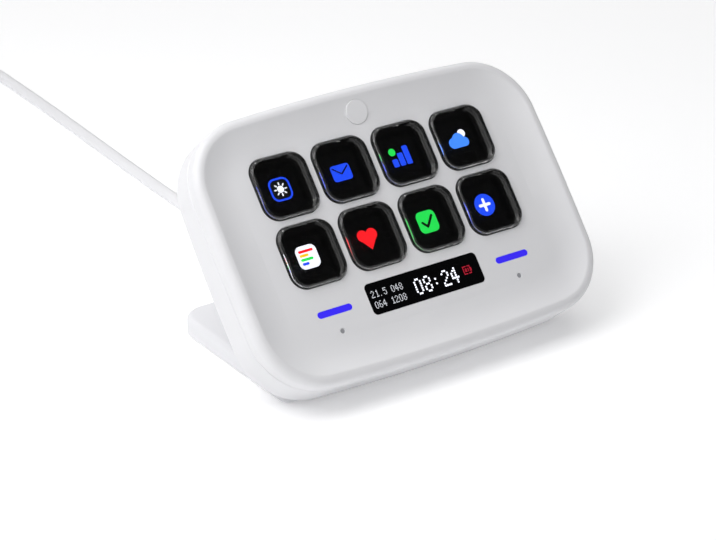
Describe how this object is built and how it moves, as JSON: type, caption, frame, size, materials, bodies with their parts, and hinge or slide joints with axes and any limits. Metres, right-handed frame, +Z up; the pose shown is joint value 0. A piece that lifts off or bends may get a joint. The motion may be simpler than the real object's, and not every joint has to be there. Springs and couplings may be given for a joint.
{
  "type": "macro keypad",
  "caption": "Leaning desk keypad with a dished white housing, clear screen keys in two rows, an information window, lit bars, a flat weighted foot and a thin cord with a small plug.",
  "frame": {"origin": "on the desk, under the middle of the object's box without its cord", "axes": "+X to the right of someone facing the keys, +Y to the back, away from them, +Z up"},
  "size_m": [0.1108, 0.3188, 0.0646],
  "materials": {
    "housing_white": "matte moulded",
    "badge_white": "satin moulded",
    "foot_white": "matte moulded",
    "key_clear": "polished clear",
    "key_liner": "matte black",
    "silicone": "matte translucent",
    "screen": "glossy display",
    "sheet_steel": "plated sheet",
    "circuit_board": "solder resist",
    "chip_black": "matte",
    "led_lens": "clear",
    "header_plastic": "matte",
    "screw_steel": "zinc plated",
    "window_glass": "glossy black",
    "light_guide": "lit violet",
    "touch_metal": "plain",
    "ballast_steel": "phosphated",
    "pad_rubber": "matte",
    "sleeve_white": "matte moulded",
    "cord_white": "smooth jacket",
    "plug_white": "matte moulded",
    "plug_steel": "nickel plated"
  },
  "bodies": {
    "root": {"front_bezel": "housing_white", "rear_shell": "housing_white", "badge_disc": "badge_white", "dome_mat": "silicone", "lcd_panel": "screen", "lcd_frame": "sheet_steel", "main_board": "circuit_board", "board_chips": "chip_black", "side_leds": "led_lens", "cord_header": "header_plastic", "board_screws": "screw_steel", "case_screws": "screw_steel", "stand_screws": "screw_steel", "info_window": "window_glass", "info_display": "screen", "light_bar_left": "light_guide", "light_bar_right": "light_guide", "touch_pad_left": "touch_metal", "touch_pad_right": "touch_metal", "stand_foot": "foot_white", "ballast_plate": "ballast_steel", "base_pad": "pad_rubber", "strain_relief": "sleeve_white", "cord_clamp": "sheet_steel", "cord": "cord_white", "cord_coil": "cord_white", "plug_grip": "plug_white", "plug_shell": "plug_steel"},
    "key_1": {"key_cap_1": "key_clear", "key_mask_1": "key_liner"},
    "key_2": {"key_cap_2": "key_clear", "key_mask_2": "key_liner"},
    "key_3": {"key_cap_3": "key_clear", "key_mask_3": "key_liner"},
    "key_4": {"key_cap_4": "key_clear", "key_mask_4": "key_liner"},
    "key_5": {"key_cap_5": "key_clear", "key_mask_5": "key_liner"},
    "key_6": {"key_cap_6": "key_clear", "key_mask_6": "key_liner"},
    "key_7": {"key_cap_7": "key_clear", "key_mask_7": "key_liner"},
    "key_8": {"key_cap_8": "key_clear", "key_mask_8": "key_liner"}
  },
  "joints": [
    {"name": "key_1_press", "type": "slide", "parent": "root", "child": "key_1", "axis": [0, 0.7581, -0.6521], "range_m": [0, 0.0007], "stiffness_N_per_m": 400, "springref_m": -0.0005, "deforming": ["dome_mat"]},
    {"name": "key_2_press", "type": "slide", "parent": "root", "child": "key_2", "axis": [0, 0.7581, -0.6521], "range_m": [0, 0.0007], "stiffness_N_per_m": 400, "springref_m": -0.0005, "deforming": ["dome_mat"]},
    {"name": "key_3_press", "type": "slide", "parent": "root", "child": "key_3", "axis": [0, 0.7581, -0.6521], "range_m": [0, 0.0007], "stiffness_N_per_m": 400, "springref_m": -0.0005, "deforming": ["dome_mat"]},
    {"name": "key_4_press", "type": "slide", "parent": "root", "child": "key_4", "axis": [0, 0.7581, -0.6521], "range_m": [0, 0.0007], "stiffness_N_per_m": 400, "springref_m": -0.0005, "deforming": ["dome_mat"]},
    {"name": "key_5_press", "type": "slide", "parent": "root", "child": "key_5", "axis": [0, 0.7581, -0.6521], "range_m": [0, 0.0007], "stiffness_N_per_m": 400, "springref_m": -0.0005, "deforming": ["dome_mat"]},
    {"name": "key_6_press", "type": "slide", "parent": "root", "child": "key_6", "axis": [0, 0.7581, -0.6521], "range_m": [0, 0.0007], "stiffness_N_per_m": 400, "springref_m": -0.0005, "deforming": ["dome_mat"]},
    {"name": "key_7_press", "type": "slide", "parent": "root", "child": "key_7", "axis": [0, 0.7581, -0.6521], "range_m": [0, 0.0007], "stiffness_N_per_m": 400, "springref_m": -0.0005, "deforming": ["dome_mat"]},
    {"name": "key_8_press", "type": "slide", "parent": "root", "child": "key_8", "axis": [0, 0.7581, -0.6521], "range_m": [0, 0.0007], "stiffness_N_per_m": 400, "springref_m": -0.0005, "deforming": ["dome_mat"]}
  ]
}
